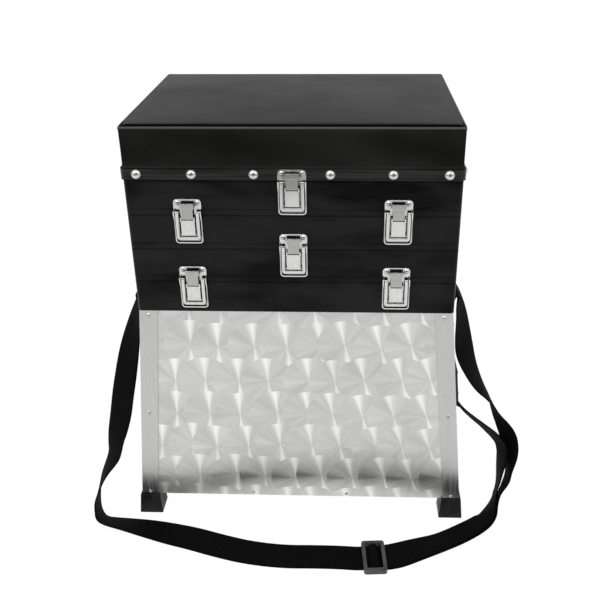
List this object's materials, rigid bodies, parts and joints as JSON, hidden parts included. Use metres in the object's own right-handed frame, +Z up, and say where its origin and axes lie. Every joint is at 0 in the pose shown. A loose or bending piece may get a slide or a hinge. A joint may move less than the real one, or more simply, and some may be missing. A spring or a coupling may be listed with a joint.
{
  "type": "fishing seat box",
  "caption": "Padded seat box with stacked hinged trays on a riveted aluminium base, latched at the front, with a shoulder strap lying beside it",
  "frame": {"origin": "centre of the box at floor level, on the underside of the four rubber feet; the strap that lies beside the box is left out of the centring", "axes": "+Z up, -Y towards the front with the latches, +X towards the right-hand side seen from the front"},
  "size_m": [0.5343, 0.3707, 0.5133],
  "materials": {
    "panel_aluminium": "engine-turned swirls, polished",
    "profile_aluminium": "brushed",
    "foot_rubber": "matt",
    "tray_plastic": "glossy black",
    "latch_steel": "polished",
    "hook_chrome": "polished",
    "hinge_steel": "plated",
    "rivet_metal": "plain",
    "stud_chrome": "polished",
    "seat_wood": "plywood",
    "seat_foam": "open-cell foam",
    "seat_vinyl": "smooth satin vinyl",
    "trim_plastic": "satin black",
    "strap_webbing": "woven webbing",
    "slider_plastic": "satin",
    "clamp_steel": "plated",
    "bracket_black": "black"
  },
  "bodies": {
    "base": {"front_panel": "panel_aluminium", "rear_panel": "panel_aluminium", "left_panel": "panel_aluminium", "right_panel": "panel_aluminium", "bottom_panel": "panel_aluminium", "collar": "tray_plastic", "collar_latch_plates": "latch_steel", "collar_hinge_leaves": "hinge_steel", "base_pins_and_rivets": "rivet_metal", "strap_clamp_left": "clamp_steel", "strap_clamp_right": "clamp_steel", "strap_bracket_right": "bracket_black", "shoulder_strap": "strap_webbing", "strap_return": "strap_webbing", "strap_slider": "slider_plastic", "corner_profile_front_left": "profile_aluminium", "corner_profile_front_right": "profile_aluminium", "corner_profile_rear_left": "profile_aluminium", "corner_profile_rear_right": "profile_aluminium", "foot_front_left": "foot_rubber", "foot_front_right": "foot_rubber", "foot_rear_left": "foot_rubber", "foot_rear_right": "foot_rubber"},
    "tray_3": {"tray_3": "tray_plastic", "tray_3_hinge_leaves": "hinge_steel", "tray_3_keepers": "latch_steel", "tray_3_latch_plates": "latch_steel", "tray_3_pins_and_rivets": "rivet_metal"},
    "tray_2": {"tray_2": "tray_plastic", "tray_2_hinge_leaves": "hinge_steel", "tray_2_keepers": "latch_steel", "tray_2_latch_plates": "latch_steel", "tray_2_pins_and_rivets": "rivet_metal"},
    "tray_1": {"tray_1": "tray_plastic", "tray_1_hinge_leaves": "hinge_steel", "tray_1_keepers": "latch_steel", "tray_1_latch_plates": "latch_steel", "tray_1_pins_and_rivets": "rivet_metal"},
    "lid": {"seat_board": "seat_wood", "trim_band": "trim_plastic", "seat_foam": "seat_foam", "seat_cover": "seat_vinyl", "trim_studs": "stud_chrome", "lid_keepers": "latch_steel", "lid_hinge_leaves": "hinge_steel", "lid_rivets": "rivet_metal"},
    "lever_lower_left": {"lever_lower_left": "latch_steel"},
    "hook_lower_left": {"hook_lower_left": "hook_chrome"},
    "lever_lower_right": {"lever_lower_right": "latch_steel"},
    "hook_lower_right": {"hook_lower_right": "hook_chrome"},
    "lever_middle": {"lever_middle": "latch_steel"},
    "hook_middle": {"hook_middle": "hook_chrome"},
    "lever_upper_left": {"lever_upper_left": "latch_steel"},
    "hook_upper_left": {"hook_upper_left": "hook_chrome"},
    "lever_upper_right": {"lever_upper_right": "latch_steel"},
    "hook_upper_right": {"hook_upper_right": "hook_chrome"},
    "lever_lid": {"lever_lid": "latch_steel"},
    "hook_lid": {"hook_lid": "hook_chrome"}
  },
  "joints": [
    {"name": "tray_3_hinge", "type": "hinge", "parent": "base", "child": "tray_3", "pos_m": [0, 0.1332, 0.3352], "axis": [-1, 0, 0], "range_deg": [0, 55]},
    {"name": "tray_2_hinge", "type": "hinge", "parent": "tray_3", "child": "tray_2", "pos_m": [0, 0.1332, 0.3747], "axis": [-1, 0, 0], "range_deg": [0, 55]},
    {"name": "tray_1_hinge", "type": "hinge", "parent": "tray_2", "child": "tray_1", "pos_m": [0, 0.1332, 0.4142], "axis": [-1, 0, 0], "range_deg": [0, 55]},
    {"name": "lid_hinge", "type": "hinge", "parent": "tray_1", "child": "lid", "pos_m": [0, 0.1352, 0.4537], "axis": [-1, 0, 0], "range_deg": [0, 95]},
    {"name": "lever_lower_left_pivot", "type": "hinge", "parent": "base", "child": "lever_lower_left", "pos_m": [-0.113, -0.1348, 0.3396], "axis": [-1, 0, 0], "range_deg": [0, 105]},
    {"name": "hook_lower_left_pivot", "type": "hinge", "parent": "lever_lower_left", "child": "hook_lower_left", "pos_m": [-0.113, -0.135, 0.3326], "axis": [-1, 0, 0], "range_deg": [-105, 0]},
    {"name": "lever_lower_right_pivot", "type": "hinge", "parent": "base", "child": "lever_lower_right", "pos_m": [0.113, -0.1348, 0.3396], "axis": [-1, 0, 0], "range_deg": [0, 105]},
    {"name": "hook_lower_right_pivot", "type": "hinge", "parent": "lever_lower_right", "child": "hook_lower_right", "pos_m": [0.113, -0.135, 0.3326], "axis": [-1, 0, 0], "range_deg": [-105, 0]},
    {"name": "lever_middle_pivot", "type": "hinge", "parent": "tray_3", "child": "lever_middle", "pos_m": [0, -0.1348, 0.3791], "axis": [-1, 0, 0], "range_deg": [0, 105]},
    {"name": "hook_middle_pivot", "type": "hinge", "parent": "lever_middle", "child": "hook_middle", "pos_m": [0, -0.135, 0.3721], "axis": [-1, 0, 0], "range_deg": [-105, 0]},
    {"name": "lever_upper_left_pivot", "type": "hinge", "parent": "tray_2", "child": "lever_upper_left", "pos_m": [-0.113, -0.1348, 0.4186], "axis": [-1, 0, 0], "range_deg": [0, 105]},
    {"name": "hook_upper_left_pivot", "type": "hinge", "parent": "lever_upper_left", "child": "hook_upper_left", "pos_m": [-0.113, -0.135, 0.4116], "axis": [-1, 0, 0], "range_deg": [-105, 0]},
    {"name": "lever_upper_right_pivot", "type": "hinge", "parent": "tray_2", "child": "lever_upper_right", "pos_m": [0.113, -0.1348, 0.4186], "axis": [-1, 0, 0], "range_deg": [0, 105]},
    {"name": "hook_upper_right_pivot", "type": "hinge", "parent": "lever_upper_right", "child": "hook_upper_right", "pos_m": [0.113, -0.135, 0.4116], "axis": [-1, 0, 0], "range_deg": [-105, 0]},
    {"name": "lever_lid_pivot", "type": "hinge", "parent": "tray_1", "child": "lever_lid", "pos_m": [0, -0.1348, 0.4523], "axis": [-1, 0, 0], "range_deg": [0, 105]},
    {"name": "hook_lid_pivot", "type": "hinge", "parent": "lever_lid", "child": "hook_lid", "pos_m": [0, -0.135, 0.4453], "axis": [-1, 0, 0], "range_deg": [-105, 0]}
  ],
  "couplings": [
    {"joint": "hook_lower_left_pivot", "follows": "lever_lower_left_pivot", "ratio": -1},
    {"joint": "hook_lower_right_pivot", "follows": "lever_lower_right_pivot", "ratio": -1},
    {"joint": "hook_middle_pivot", "follows": "lever_middle_pivot", "ratio": -1},
    {"joint": "hook_upper_left_pivot", "follows": "lever_upper_left_pivot", "ratio": -1},
    {"joint": "hook_upper_right_pivot", "follows": "lever_upper_right_pivot", "ratio": -1},
    {"joint": "hook_lid_pivot", "follows": "lever_lid_pivot", "ratio": -1}
  ]
}
